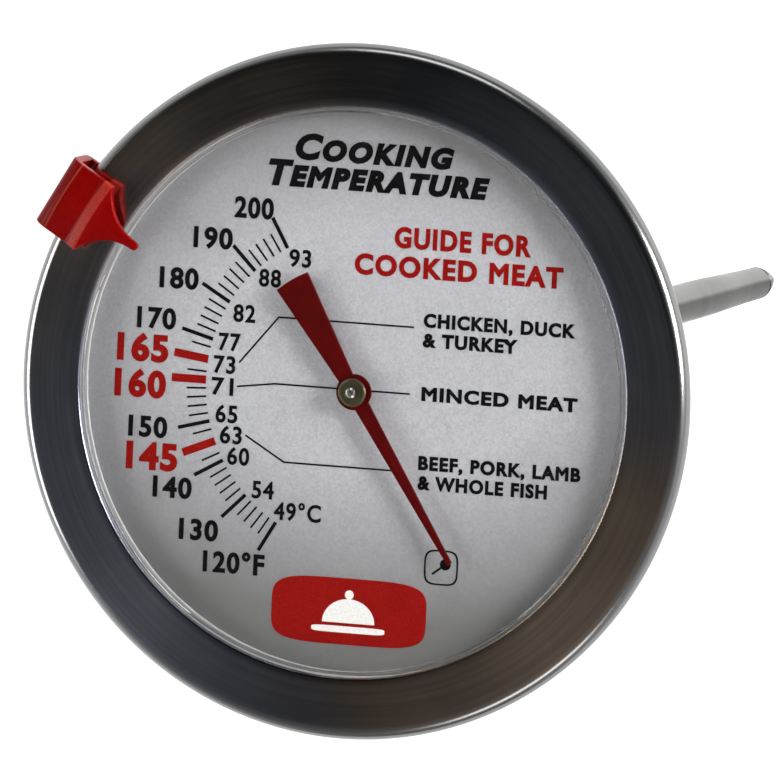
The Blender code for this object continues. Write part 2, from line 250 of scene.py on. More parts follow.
def blendColours(tree, share, first, second):
    # share 0 is the first, share 1 the second; each is a colour or a socket
    node = tree.nodes.new("ShaderNodeMix")
    node.data_type = "RGBA"
    tree.links.new(share, node.inputs[0])
    for socket, value in ((node.inputs[6], first), (node.inputs[7], second)):
        if isinstance(value, tuple):
            socket.default_value = (*value, 1.0)
        else:
            tree.links.new(value, socket)
    return node.outputs[2]


def addBump(tree, shader, value, distance, strength=1.0):
    bump = tree.nodes.new("ShaderNodeBump")
    bump.inputs["Strength"].default_value = strength
    bump.inputs["Distance"].default_value = distance
    tree.links.new(value, bump.inputs["Height"])
    tree.links.new(bump.outputs[0], shader.inputs["Normal"])


def stemPaintedReflections(tree, look, tint):
    # painted reflections: one long soft-edged dull band down the front and a brighter back,
    # from the cosine of the angle between the point's direction from the axis and the band's
    flat = flatPlace(tree)
    turn = math.radians(look["bandAt"])
    x, y = axesOf(tree, flat)[:2]
    along = mathNode(tree, "ADD", mathNode(tree, "MULTIPLY", x, math.cos(turn)),
                     mathNode(tree, "MULTIPLY", y, math.sin(turn)))
    radius = mathNode(tree, "MAXIMUM", vectorNode(tree, "LENGTH", flat), 1e-6)
    cosine = mathNode(tree, "DIVIDE", along, radius)
    wobble = spread(tree, objectNoise(tree, 110.0, 2.0), -0.02, 0.02)
    share = spread(tree, mathNode(tree, "ADD", cosine, wobble), 0.0, 1.0, *look["bandEdge"])
    behind = spread(tree, cosine, 1.0, 0.0, *look["backEdge"])
    return blendColours(tree, share, blendColours(tree, behind, tint, look["back"]), look["paintedBandShade"])


def bezelPaintedReflections(tree, look):
    # painted reflections: warmer and cooler quarters by -x y of the point's direction, painted duller
    # reflections at twelve and six o'clock by y^2 and at three and nine by x^2, with faint streaks round the
    # ring, a plain rolled rim and painted shade along the rim's outer edge
    flat = flatPlace(tree)
    x, y = axesOf(tree, vectorNode(tree, "NORMALIZE", flat))[:2]
    quarter = mathNode(tree, "MULTIPLY", mathNode(tree, "MULTIPLY", x, y), -1.0)
    drift = spread(tree, objectNoise(tree, look["driftScale"], 3.0), -look["drift"], look["drift"])
    warmth = mathNode(tree, "ADD", mathNode(tree, "ADD", quarter, mathNode(tree, "MULTIPLY", y, -0.2)), drift)
    quarter = spread(tree, warmth, 0.0, 1.0, *look["quarterEdge"])
    tint = blendColours(tree, quarter, look["paintedCool"], look["paintedWarm"])
    upright = spread(tree, mathNode(tree, "MULTIPLY", y, y), look["level"], look["uprightPaintedLevel"], 0.55, 1.0)
    level = mathNode(tree, "ADD", upright,
                     spread(tree, mathNode(tree, "MULTIPLY", x, x), 0.0, look["sidePaintedDrop"], 0.6, 1.0))
    streak = objectNoise(tree, 1.0, 3.0, ringCoordinates(tree, *look["streaks"]))
    for uneven, part in ((streak, look["streak"]), (objectNoise(tree, look["marks"], 3.0), look["mark"])):
        level = mathNode(tree, "MULTIPLY", level, spread(tree, uneven, 1.0 - part, 1.0 + part))
    scaled = tree.nodes.new("ShaderNodeVectorMath")
    scaled.operation = "SCALE"
    tree.links.new(tint, scaled.inputs[0])
    tree.links.new(level, scaled.inputs["Scale"])
    reach = vectorNode(tree, "LENGTH", flat)
    tint = scaled.outputs[0]
    # the rolled rim goes plain, and its outer edge takes painted shade
    for shade, start, end in (look["rolled"], look["edge"]):
        share = spread(tree, reach, 0.0, 1.0, (headRadius - start) * mm, (headRadius - end) * mm)
        tint = blendColours(tree, share, tint, shade)
    return tint


def brushedSteel(name, look):
    # steel with a fine grain that runs round the axis, and soft patches of handling
    material, tree, shader = newMaterial(name, look["light"], look["roughness"], 1.0)
    grain = objectNoise(tree, 1.0, 4.0, ringCoordinates(tree, look["grainAcross"], look["grainAround"]))
    patches = objectNoise(tree, look["patchScale"], 2.0)
    # the bezel's colour takes painted reflections and painted shade
    if "paintedWarm" in look:
        tint = bezelPaintedReflections(tree, look)
    else:
        tint = blendColours(tree, spread(tree, patches, 0.0, 1.0), look["light"], look["dark"])
    # the stem's colour takes painted reflections: a dark band down the front and a brighter back
    if "back" in look:
        tint = stemPaintedReflections(tree, look, tint)
    tree.links.new(tint, shader.inputs["Base Color"])
    rough = mathNode(tree, "ADD", spread(tree, grain, -look["roughSpread"], look["roughSpread"]),
                     spread(tree, patches, look["roughness"] - 0.03, look["roughness"] + 0.03))
    tree.links.new(rough, shader.inputs["Roughness"])
    addBump(tree, shader, grain, look["bump"], 0.6)
    return material


# the quarter tints and their drift, the upright and side levels and the dark outer edge are painted
# reflections and painted shade
bezelLook = {"light": (0.62, 0.53, 0.46), "paintedWarm": (0.66, 0.53, 0.42), "paintedCool": (0.46, 0.50, 0.60),
             "quarterEdge": (-0.15, 0.45), "driftScale": 45.0, "drift": 0.35, "level": 1.22,
             "uprightPaintedLevel": 0.50, "sidePaintedDrop": -0.22, "streaks": (2600.0, 1.2), "streak": 0.12,
             "marks": 95.0, "mark": 0.14, "rolled": ((0.50, 0.50, 0.50), 1.2, 0.5),
             "edge": ((0.26, 0.26, 0.26), 0.55, 0.1), "roughness": 0.20, "roughSpread": 0.02,
             "grainAcross": 16000.0, "grainAround": 6.0, "patchScale": 34.0, "bump": 0.0000004}
caseLook = {"light": (0.58, 0.58, 0.57), "dark": (0.50, 0.50, 0.50), "roughness": 0.32,
            "roughSpread": 0.06, "grainAcross": 6000.0, "grainAround": 3.0, "patchScale": 120.0,
            "bump": 0.000003}
# the stem's back colour and its dark band are painted reflections
stemLook = {"light": (0.26, 0.26, 0.255), "dark": (0.22, 0.22, 0.22), "back": (0.52, 0.52, 0.51),
            "backEdge": (-0.75, -0.35), "bandAt": -16.0, "bandEdge": (0.75, 0.87),
            "paintedBandShade": (0.018, 0.018, 0.017), "roughness": 0.34, "roughSpread": 0.015,
            "grainAcross": 7000.0, "grainAround": 1.5, "patchScale": 150.0, "bump": 0.0000004}
smallMetals = {"turnedBrass": {"light": (0.72, 0.54, 0.28), "dark": (0.62, 0.44, 0.20),
                               "roughness": 0.32, "grainAcross": 5000.0},
               "agedNickel": {"light": (0.26, 0.24, 0.15), "dark": (0.19, 0.175, 0.10),
                              "roughness": 0.33, "grainAcross": 9000.0},
               "brightWire": {"light": (0.86, 0.85, 0.80), "dark": (0.70, 0.69, 0.66),
                              "roughness": 0.22, "grainAcross": 6000.0},
               "bimetalStrip": {"light": (0.50, 0.45, 0.38), "dark": (0.42, 0.38, 0.33),
                                "roughness": 0.38, "grainAcross": 4000.0}}


def smallMetal(name):
    # turned or rolled small part
    shared = {"roughSpread": 0.05, "grainAround": 2.0, "patchScale": 400.0, "bump": 0.000002}
    return brushedSteel(name, {**shared, **smallMetals[name]})


# the edge colour, with its centre, reach and stretch, paints shade onto the dial towards its rim
dialLook = {"light": (0.70, 0.71, 0.75), "dark": (0.57, 0.58, 0.62), "flake": 5200.0,
            "cloud": 900.0, "roughness": 0.42, "metallic": 0.35, "bump": 0.000012,
            "edge": (0.235, 0.235, 0.235), "paintedShadeCentre": (0.002, 0.004), "paintedShadeReach": (0.014, 0.032),
            "paintedShadeStretch": (0.84, 1.27, 1.0)}


def dialSilver():
    # silver lacquer: coarse flakes that catch the light over a soft cloudiness, and painted shade that
    # darkens the edge by the stretched distance from the shade's centre
    material, tree, shader = newMaterial("dialSilver", dialLook["light"], dialLook["roughness"],
                                         dialLook["metallic"])
    flakes = tree.nodes.new("ShaderNodeTexVoronoi")
    flakes.inputs["Scale"].default_value = dialLook["flake"]
    tree.links.new(ownPlace(tree), flakes.inputs["Vector"])
    split = tree.nodes.new("ShaderNodeSeparateColor")
    tree.links.new(flakes.outputs["Color"], split.inputs[0])
    cloud = objectNoise(tree, dialLook["cloud"], 3.0)
    share = mathNode(tree, "ADD", mathNode(tree, "MULTIPLY", split.outputs[0], 0.62),
                     mathNode(tree, "MULTIPLY", cloud, 0.38))
    tint = blendColours(tree, spread(tree, share, 0.0, 1.0, 0.15, 0.85), dialLook["dark"], dialLook["light"])
    # painted shade towards the dial's rim
    offset = vectorNode(tree, "SUBTRACT", ownPlace(tree), (*dialLook["paintedShadeCentre"], dialTop))
    reach = vectorNode(tree, "LENGTH", vectorNode(tree, "MULTIPLY", offset, dialLook["paintedShadeStretch"]))
    paintedShade = spread(tree, reach, 0.0, 1.0, *dialLook["paintedShadeReach"])
    tree.links.new(blendColours(tree, paintedShade, tint, dialLook["edge"]), shader.inputs["Base Color"])
    tree.links.new(spread(tree, split.outputs[1], 0.30, 0.55, 0.0, 1.0), shader.inputs["Roughness"])
    addBump(tree, shader, share, dialLook["bump"], 0.5)
    return material


# the two paler bands are painted highlights on the clip's ridge and at its groove
plasticLook = {"light": (0.40, 0.002, 0.002), "dark": (0.33, 0.001, 0.001), "roughness": 0.30,
               "grain": 2600.0, "flow": 260.0, "bump": 0.000006, "gloss": 0.18, "speckle": 5200.0,
               "paintedHighlights": ((29.3, 0.55, (0.80, 0.065, 0.045)), (32.35, 0.10, (0.50, 0.09, 0.05)))}
lacquerLook = {"light": (0.095, 0.001, 0.001), "dark": (0.065, 0.001, 0.001), "roughness": 0.42,
               "grain": 1800.0, "flow": 400.0, "bump": 0.000004, "gloss": 0.08}


def paintedHighlightBand(tree, tint, middle, reach, shade):
    # a speckled painted highlight band at one distance from the axis: share = 1 - |radius - middle| / reach,
    # held at 1 over the inner three quarters
    radius = vectorNode(tree, "LENGTH", flatPlace(tree))
    off = mathNode(tree, "ABSOLUTE", mathNode(tree, "SUBTRACT", radius, middle * mm))
    inside = spread(tree, off, 1.0, 0.0, reach * mm * 0.75, reach * mm)
    speckle = spread(tree, objectNoise(tree, plasticLook["speckle"], 2.0), 0.55, 1.0)
    return blendColours(tree, mathNode(tree, "MULTIPLY", inside, speckle), tint, shade)


def redFinish(name, look):
    # moulded or sprayed red: a slow colour drift and a fine skin, with paler painted highlight bands where
    # the look lists them
    material, tree, shader = newMaterial(name, look["light"], look["roughness"])
    flow = objectNoise(tree, look["flow"], 2.0)
    tint = blendColours(tree, spread(tree, flow, 0.0, 1.0), look["dark"], look["light"])
    # painted highlight bands on the clip's ridge and at its groove
    for middle, reach, shade in look.get("paintedHighlights", ()):
        tint = paintedHighlightBand(tree, tint, middle, reach, shade)
    tree.links.new(tint, shader.inputs["Base Color"])
    skin = objectNoise(tree, look["grain"], 4.0)
    tree.links.new(spread(tree, skin, look["roughness"] - 0.05, look["roughness"] + 0.07),
                   shader.inputs["Roughness"])
    shader.inputs["Specular IOR Level"].default_value = look["gloss"]
    addBump(tree, shader, skin, look["bump"], 0.5)
    return material


inkLook = {"black": (0.003, 0.003, 0.0035), "red": (0.235, 0.003, 0.0015), "white": (0.80, 0.79, 0.77),
           "roughness": 0.55, "gloss": 0.04, "grain": 7000.0}


def printedInk(name, colour):
    # screen-printed ink, a little uneven in tone and gloss
    material, tree, shader = newMaterial(name, colour, inkLook["roughness"])
    shader.inputs["Specular IOR Level"].default_value = inkLook["gloss"]
    grain = objectNoise(tree, inkLook["grain"], 3.0)
    paler = tuple(min(1.0, c * 1.25 + 0.006) for c in colour)
    tint = blendColours(tree, spread(tree, grain, 0.0, 1.0), colour, paler)
    tree.links.new(tint, shader.inputs["Base Color"])
    tree.links.new(spread(tree, grain, 0.45, 0.62), shader.inputs["Roughness"])
    return material


crystalLook = {"bending": 1.1, "gloss": 0.5, "haze": 500.0, "roughness": (0.005, 0.03)}


def clearCrystal():
    # clear moulded window: lamps shine through it, the eye sees its gloss and bending
    look = crystalLook
    material, tree, shader = newMaterial("crystalClear", (1.0, 1.0, 1.0), look["roughness"][1])
    shader.inputs["Transmission Weight"].default_value = 1.0
    shader.inputs["IOR"].default_value = look["bending"]
    shader.inputs["Specular IOR Level"].default_value = look["gloss"]
    haze = objectNoise(tree, look["haze"], 3.0)
    tree.links.new(spread(tree, haze, *look["roughness"]), shader.inputs["Roughness"])
    path = tree.nodes.new("ShaderNodeLightPath")
    seeThrough = tree.nodes.new("ShaderNodeBsdfTransparent")
    mix = tree.nodes.new("ShaderNodeMixShader")
    tree.links.new(path.outputs["Is Shadow Ray"], mix.inputs[0])
    tree.links.new(shader.outputs[0], mix.inputs[1])
    tree.links.new(seeThrough.outputs[0], mix.inputs[2])
    tree.links.new(mix.outputs[0], tree.nodes["Material Output"].inputs["Surface"])
    return material


sealLook = {"dark": (0.46, 0.46, 0.46), "light": (0.56, 0.56, 0.56), "grain": 3000.0,
            "roughness": (0.6, 0.8), "bump": 0.00002}


def paleSilicone():
    # matt rubbery seal with a fine grain
    look = sealLook
    material, tree, shader = newMaterial("sealSilicone", look["light"], look["roughness"][0])
    grain = objectNoise(tree, look["grain"], 4.0)
    tree.links.new(blendColours(tree, grain, look["dark"], look["light"]), shader.inputs["Base Color"])
    tree.links.new(spread(tree, grain, *look["roughness"]), shader.inputs["Roughness"])
    addBump(tree, shader, grain, look["bump"], 0.4)
    return material


bezelSteel = brushedSteel("bezelSteel", bezelLook)
caseSteel = brushedSteel("caseSteel", caseLook)
stemSteel = brushedSteel("stemSteel", stemLook)
silver = dialSilver()
redPlastic = redFinish("markerRed", plasticLook)
redLacquer = redFinish("pointerRed", lacquerLook)
blackInk = printedInk("blackInk", inkLook["black"])
redInk = printedInk("redInk", inkLook["red"])
whiteInk = printedInk("whiteInk", inkLook["white"])
crystalClear = clearCrystal()
silicone = paleSilicone()
brass, nickel, brightWire, bimetalStrip = [smallMetal(name) for name in smallMetals]
print("materials ready")

# carried-over CAD nodes take their finish here
nodeFinish = {"dial_plate": silver, "rim_seal": silicone, "crystal_gasket": silicone, "pointer": redLacquer,
              "spindle": brightWire, "helix_collar": brass, "stake_washer": caseSteel,
              "upper_bushing": brass, "middle_bushing": brass, "lower_bushing": brass,
              "bimetal_helix": bimetalStrip, "helix_anchor": brass}
for nodeName, finish in nodeFinish.items():
    for materialSlot in nodes[nodeName].material_slots:
        materialSlot.material = finish

bezelShape = {"lipRound": 0.28, "sheet": 0.4, "rollRadius": 1.15, "rollDrop": 1.3, "opening": 26.0,
              "coneDrop": 0.15}


def makeBezel():
    # flat ring with a faint cone, a rolled rim and a small round at the inner lip
    b = bezelShape
    rollCentre = (headRadius - b["rollRadius"], bezelTop - b["rollDrop"])
    lip = (b["opening"] + b["lipRound"], bezelTop - b["lipRound"])
    flat = np.linspace(0.0, 1.0, 8)[1:]
    start, end = lip[0], rollCentre[0]
    profile = [(b["opening"], bezelTop - b["sheet"] + 0.05)]
    profile += arc(lip, b["lipRound"], 180, 90, 6)
    profile += [(start + (end - start) * t, bezelTop - b["coneDrop"] * t) for t in flat[:-1]]
    profile += arc(rollCentre, b["rollRadius"], 88, -108, 28)
    profile += arc(rollCentre, b["rollRadius"] - b["sheet"], -108, 90, 18)
    profile += [(b["opening"] + 0.05, bezelTop - b["sheet"])]
    piece = newObject("bezelRing", lathe("bezelRing", profile, 384, True), "head", bezelSteel)
    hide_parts("bezel_ring")


caseShape = {"wallStep": 25.9, "seat": 27.2, "sheet": 0.4, "corner": 3.0, "stepRound": 0.35,
             "wellRadius": 5.3, "wellDepth": 0.9, "wellRound": 0.3, "stemHole": 3.2}


def makeCase():
    # drawn cup with rounded steps, closed round the sheet's thickness
    c = caseShape
    top = caseHigh.z / mm
    flangeRadius = caseHigh.x / mm
    sheet, r, w = c["sheet"], c["stepRound"], c["wellRound"]
    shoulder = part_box("dial_plate")[0].z / mm - 0.3
    outer, lower = c["seat"] + sheet, c["wallStep"] + sheet
    corner = (lower - c["corner"], c["corner"])
    profile = [(c["seat"] + 0.2, top), (flangeRadius, top), (flangeRadius, top - sheet)]
    profile += arc((outer + r, top - sheet - r), r, 90, 180, 5)
    profile += arc((outer - r, shoulder - sheet + r), r, 0, -90, 5)
    profile += arc((lower + r * 0.5, shoulder - sheet - r * 0.5), r * 0.5, 90, 180, 4)
    profile += arc(corner, c["corner"], 0, -90, 14)
    profile += arc((c["wellRadius"] + 0.55, w), w, -90, -160, 4)
    profile += arc((c["wellRadius"] - w, c["wellDepth"] - w), w, 20, 90, 4)
    profile += [(c["stemHole"], c["wellDepth"]), (c["stemHole"], c["wellDepth"] + sheet)]
    profile += [(c["wellRadius"] + w, c["wellDepth"] + sheet), (c["wellRadius"] + 2 * w, sheet)]
    profile += arc(corner, c["corner"] - sheet, -90, 0, 10)
    profile += [(c["wallStep"], shoulder), (c["seat"], shoulder), (c["seat"], top - 0.15)]
    piece = newObject("caseBack", lathe("caseBack", profile, 320, True), "head", caseSteel)
    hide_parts("case_back")


crystalShape = {"rim": 25.75, "shoulder": 0.45, "wall": 0.22, "flange": 0.55,
                "footRound": 0.12}


def domeLine(crown, edgeHeight, edgeRadius, count):
    # height(r) = crown - R + sqrt(R^2 - r^2), with R from the dome's rise over its edge radius
    rise = crown - edgeHeight
    sphere = (edgeRadius ** 2 + rise ** 2) / (2 * rise)
    r = np.linspace(0.0, edgeRadius, count + 1)
    return np.stack([r, crown - sphere + np.sqrt(sphere ** 2 - r ** 2)], axis=-1).tolist()


def makeCrystal():
    # shallow dome with a round shoulder, a straight side and a flange under the bezel
    c = crystalShape
    crown = crystalHigh.z / mm
    flangeTop = crystalLow.z / mm + c["flange"]
    seat = crystalHigh.x / mm
    shoulder = (c["rim"] - c["shoulder"], bezelTop + 0.05)
    edge = shoulder[1] + c["shoulder"] - 0.02
    profile = domeLine(crown, edge, shoulder[0], 40)[:-1]
    profile += arc(shoulder, c["shoulder"], 88, 0, 14)
    profile += arc((c["rim"] + c["footRound"], flangeTop + c["footRound"]), c["footRound"], 180, 270, 3)
    profile += [(seat - 0.05, flangeTop), (seat, flangeTop - 0.05), (seat, crystalLow.z / mm)]
    inside = c["rim"] - c["wall"]
    profile += [(inside, crystalLow.z / mm)]
    profile += arc(shoulder, c["shoulder"] - c["wall"], 0, 88, 10)
    profile += domeLine(crown - c["wall"], edge - c["wall"], shoulder[0], 40)[-2::-1]
    mesh = lathe("crystalDome", profile, 320)
    piece = newObject("crystalDome", mesh, "head", crystalClear)
    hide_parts("crystal")


stemShape = {"radius": 1.9, "swageStart": -98.0, "swageRadius": 1.62, "wall": 0.35, "pointLength": 5.7,
             "nose": 0.42, "pointPower": 1.25}


def makeStem():
    # thin tube that narrows a little towards the point: below the swage's start the radius falls
    # by 3 t^2 - 2 t^3 of the way
    s = stemShape
    top, end = stemHigh.z / mm, stemLow.z / mm
    inner, innerEnd = s["radius"] - s["wall"], s["swageRadius"] - s["wall"]
    down = np.linspace(0.0, 1.0, 40)[1:]
    ease = 3 * down ** 2 - 2 * down ** 3
    profile = [(s["radius"] - 0.05, top), (s["radius"], top - 0.05)]
    profile += [(s["radius"], top + (s["swageStart"] - top) * t) for t in down]
    profile += np.stack([s["radius"] + (s["swageRadius"] - s["radius"]) * ease,
                         s["swageStart"] + (end - s["swageStart"]) * down], axis=-1).tolist()
    profile += [(innerEnd, end), (inner, s["swageStart"]), (inner, top)]
    piece = newObject("stemTube", lathe("stemTube", profile, 96, True), "head", stemSteel)
    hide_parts("stem_tube")


def makeTip():
    # ground point: the radius falls by t^pointPower down to a small blunt nose, with a weld line
    # and a spigot above it
    s = stemShape
    low, high = tipLow.z / mm, tipHigh.z / mm
    start = low + s["pointLength"]
    spigot = s["swageRadius"] - s["wall"] - 0.1
    along = np.linspace(0.0, 1.0, 30)
    radius = s["nose"] + (s["swageRadius"] - s["nose"]) * (1 - along ** s["pointPower"])
    profile = [(0.0, high), (spigot - 0.1, high), (spigot, high - 0.1), (spigot, start + 0.04)]
    profile += [(s["swageRadius"] - 0.06, start), (s["swageRadius"], start - 0.06)]
    profile += [(r, start - 0.06 - (s["pointLength"] - s["nose"] - 0.02) * t)
                for r, t in zip(radius[1:], along[1:])]
    profile += arc((0.0, low + s["nose"]), s["nose"], 0, -90, 8)[1:]
    piece = newObject("stemPoint", lathe("stemPoint", profile, 96), "head", stemSteel)
    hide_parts("stem_tip")


collarShape = {"bore": 2.0, "neck": 2.9, "flange": 4.7, "flangeLow": -0.55, "skirtTop": 3.0,
               "skirtTaper": 0.12, "skirtStart": -1.6, "skirtLength": 2.4, "lipRadius": 2.48,
               "lipHeight": -4.3}


def makeCollar():
    # flanged ferrule with rounded edges and a long tapering skirt down to the stem
    c = collarShape
    low, high = [v.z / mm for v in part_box("stem_collar")]
    seat = caseShape["wellDepth"] - 0.3
    profile = [(c["neck"], high), (c["neck"], seat)]
    profile += arc((c["flange"] - 0.15, seat - 0.15), 0.15, 90, 0, 4)
    profile += arc((c["flange"] - 0.35, c["flangeLow"]), 0.35, 0, -90, 6)
    profile += arc((c["skirtTop"] + 0.55, c["skirtStart"] + 0.35), 0.35, 90, 170, 5)
    profile += [(c["skirtTop"] - c["skirtTaper"] * t, c["skirtStart"] - c["skirtLength"] * t)
                for t in np.linspace(0.15, 1.0, 6)]
    profile += arc((c["lipRadius"], c["lipHeight"]), 0.4, 0, -70, 5)
    profile += [(2.25, low + 0.1), (c["bore"], low), (c["bore"], high)]
    piece = newObject("stemCollar", lathe("stemCollar", profile, 128, True), "head", stemSteel)
    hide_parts("stem_collar")


hubShape = {"head": 1.31, "neck": 0.8, "collar": 1.2, "bore": 0.37, "recess": 0.07, "rim": 0.12}


def makeHub():
    # turned boss: a bright thin rim round a slightly sunk face, then the neck and the lower collar
    h = hubShape
    low, high = [v.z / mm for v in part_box("pointer_hub")]
    needleLow, needleHigh = [v.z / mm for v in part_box("pointer")]
    face = high - h["recess"]
    profile = [(h["bore"], face), (h["head"] - h["rim"] - 0.06, face), (h["head"] - h["rim"], high - 0.01)]
    profile += arc((h["head"] - 0.05, high - 0.05), 0.05, 90, 0, 4)
    profile += [(h["head"], needleHigh + 0.3), (h["neck"], needleHigh + 0.3), (h["neck"], needleLow - 0.3)]
    profile += [(h["collar"], needleLow - 0.3), (h["collar"], low), (h["bore"], low)]
    piece = newObject("pointerHub", lathe("pointerHub", profile, 96, True), "needle", nickel)
    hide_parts("pointer_hub")


clipShape = {"angle": 150.0, "halfWidth": 3.45, "tongueEnd": 23.7, "tongueHalf": 0.4, "corner": 28.6,
             "cornerEase": 0.35, "shoulder": 0.3, "narrowing": 2.6, "thickness": 0.85,
             "tongueThickness": 0.45, "edgeRound": 0.14, "overhang": 1.75, "foldAt": 32.3,
             "foldHalf": 0.13, "foldDepth": 0.20, "stations": 240}


def smoothLine(points, count, rounds=2):
    # even points along a line whose corners are cut and cut again
    line = np.asarray(points, float)
    for _ in range(rounds):
        a, b = line[:-1], line[1:]
        cut = np.stack([a * 0.75 + b * 0.25, a * 0.25 + b * 0.75], axis=1).reshape(-1, line.shape[1])
        line = np.vstack([line[:1], cut, line[-1:]])
    length = np.concatenate([[0.0], np.cumsum(np.linalg.norm(np.diff(line, axis=0), axis=1))])
    even = np.linspace(0.0, length[-1], count)
    return np.stack([np.interp(even, length, line[:, axis]) for axis in range(line.shape[1])], axis=-1)


def clipMiddle(low, high):
    # the hook's middle line as (radius, height): tongue, ridge, outer flat, outer wall and foot
    c = clipShape
    top, foot = high - 0.45, low + 0.42
    wall = headRadius + c["overhang"] - c["thickness"] / 2
    middle = [(c["tongueEnd"], top), (26.5, top), (28.7, top), (28.8, top), (28.9, top - 0.04)]
    middle += [(29.7, top - 0.32), (29.8, top - 0.36), (29.9, top - 0.37), (31.95, top - 0.44)]
    middle += [(32.2, top - 0.46), (32.5, top - 0.50), (wall - 0.12, top - 0.82)]
    middle += [(wall, top - 1.15), (wall, top - 1.8), (wall, foot + 0.8)]
    middle += [(wall, foot + 0.1), (wall - 0.35, foot), (32.0, foot), (30.75, foot)]
    return smoothLine(middle, c["stations"])


def clipHalfWidth(radius, upper):
    # tongue half width + (rest) (1 - share from corner to tip)^narrowing, eased into the square
    # shoulder, and rounded off over the tongue's last tongueHalf
    c = clipShape
    along = np.clip((c["corner"] - radius) / (c["corner"] - c["tongueEnd"] - 0.1), 0.0, 1.0)
    rest = c["halfWidth"] - c["shoulder"] - c["tongueHalf"]
    half = c["tongueHalf"] + rest * (1 - along) ** c["narrowing"]
    half = np.where(radius > c["corner"] - 1e-6, c["halfWidth"], half)
    ease = np.clip((radius - (c["corner"] - c["cornerEase"])) / c["cornerEase"], 0.0, 1.0)
    half = np.where(radius < c["corner"], half + c["shoulder"] * ease ** 2, half)
    fromTip = np.clip((radius - c["tongueEnd"]) / c["tongueHalf"], 0.0, 1.0)
    return np.where(upper, half * np.sqrt(1 - (1 - fromTip) ** 2 * 0.97), half)


def roundedSection():
    # a square section's four rounded corners as rows (side u, side v, round u, round v)
    quarter = np.radians(np.linspace(0, 90, 5))
    corners = []
    for u, v, turn in ((1, 1, 0), (-1, 1, 90), (-1, -1, 180), (1, -1, 270)):
        a = quarter + np.radians(turn)
        corners.append(np.stack([np.full(5, u), np.full(5, v), np.cos(a), np.sin(a)], axis=-1))
    return np.vstack(corners)


def makeClip():
    # a rounded bar section carried along the hook's middle line, from tongue to foot:
    # point(i, k) = middle_i + normal_i * thickness_i * v_k, set across by halfWidth(radius_i) * u_k
    c = clipShape
    line = clipMiddle(*[v.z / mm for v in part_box("marker_clip")])
    radius, height = line.T
    upper = np.arange(len(radius)) < len(radius) // 2
    tangent = np.gradient(line, axis=0)
    tangent /= np.linalg.norm(tangent, axis=1)[:, None]
    normal = np.stack([-tangent[:, 1], tangent[:, 0]], axis=-1)
    half = clipHalfWidth(radius, upper)
    thick = np.interp(radius, [c["tongueEnd"], c["corner"]], [c["tongueThickness"], c["thickness"]]) * 0.5
    thick = np.where(upper, thick, c["thickness"] * 0.5)
    fold = np.exp(-((radius - c["foldAt"]) / c["foldHalf"]) ** 2) * upper * c["foldDepth"]
    ring = roundedSection()
    inset = np.minimum(c["edgeRound"], np.minimum(half, thick) * 0.9)
    across = ring[:, 0] * (half - inset)[:, None] + ring[:, 2] * inset[:, None]
    through = ring[:, 1] * (thick - inset)[:, None] + ring[:, 3] * inset[:, None]
    through = through - np.where(ring[:, 1] > 0, 1.0, 0.0) * fold[:, None]
    rho = radius[:, None] + normal[:, 0:1] * through
    z = height[:, None] + normal[:, 1:2] * through
    a = math.radians(c["angle"])
    x = rho * math.cos(a) - across * math.sin(a)
    y = rho * math.sin(a) + across * math.cos(a)
    points = np.stack([x, y, z], axis=-1).reshape(-1, 3)
    count, around = len(radius), len(ring)
    i = np.arange(count - 1)[:, None]
    k = np.arange(around)[None, :]
    n = (k + 1) % around
    quads = np.stack([i * around + k, i * around + n, (i + 1) * around + n, (i + 1) * around + k], axis=-1)
    faces = quads.reshape(-1, 4).tolist()
    last = (count - 1) * around
    faces += [list(range(around))[::-1], [last + j for j in range(around)]]
    mesh = meshOf("markerClip", points, faces, 50.0)
    outward(mesh)
    piece = newObject("markerClip", mesh, "marker", redPlastic)
    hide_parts("marker_clip")


def outward(mesh):
    # faces of a closed mesh turned outwards
    shape = bmesh.new()
    shape.from_mesh(mesh)
    bmesh.ops.recalc_face_normals(shape, faces=shape.faces)
    shape.to_mesh(mesh)
    shape.free()
    mesh.update()


makeBezel()
makeCase()
makeCrystal()
makeStem()
makeTip()
makeCollar()
makeHub()
makeClip()
print("metal, crystal and clip ready")


scaleMarks = {"inner": 14.5, "minor": 16.35, "major": 17.6, "red": 17.8, "minorWidth": 0.17,
              "majorWidth": 0.34, "redWidth": 0.74, "low": 120, "high": 200, "step": 2,
              "redAt": (165, 160, 145), "inkHeight": 0.02}


def scaleAngle(fahrenheit):
    # 1.5 degrees a degree Fahrenheit, with 160 at nine o'clock
    return np.radians(180.0 - 1.5 * (np.asarray(fahrenheit, float) - 160.0))


def bars(values, inner, outer, width):
    # one thin box a mark: corner = radial * distance + across * half width, at two heights;
    # outer is one length for all the marks
    angle = scaleAngle(values)
    radial = np.stack([np.cos(angle), np.sin(angle)], axis=-1)
    across = np.stack([-radial[:, 1], radial[:, 0]], axis=-1) * width / 2
    near, far = radial * inner, radial * outer
    flat = np.stack([near - across, far - across, far + across, near + across], axis=1)
    low = np.full((*flat.shape[:2], 1), inkLevel)
    high = low + scaleMarks["inkHeight"]
    points = np.concatenate([np.concatenate([flat, level], axis=2) for level in (high, low)], axis=1)
    box = np.array([[0, 1, 2, 3], [7, 6, 5, 4], [0, 4, 5, 1], [1, 5, 6, 2], [2, 6, 7, 3], [3, 7, 4, 0]])
    faces = (box[None] + 8 * np.arange(len(angle))[:, None, None]).reshape(-1, 4).tolist()
    return points.reshape(-1, 3), faces


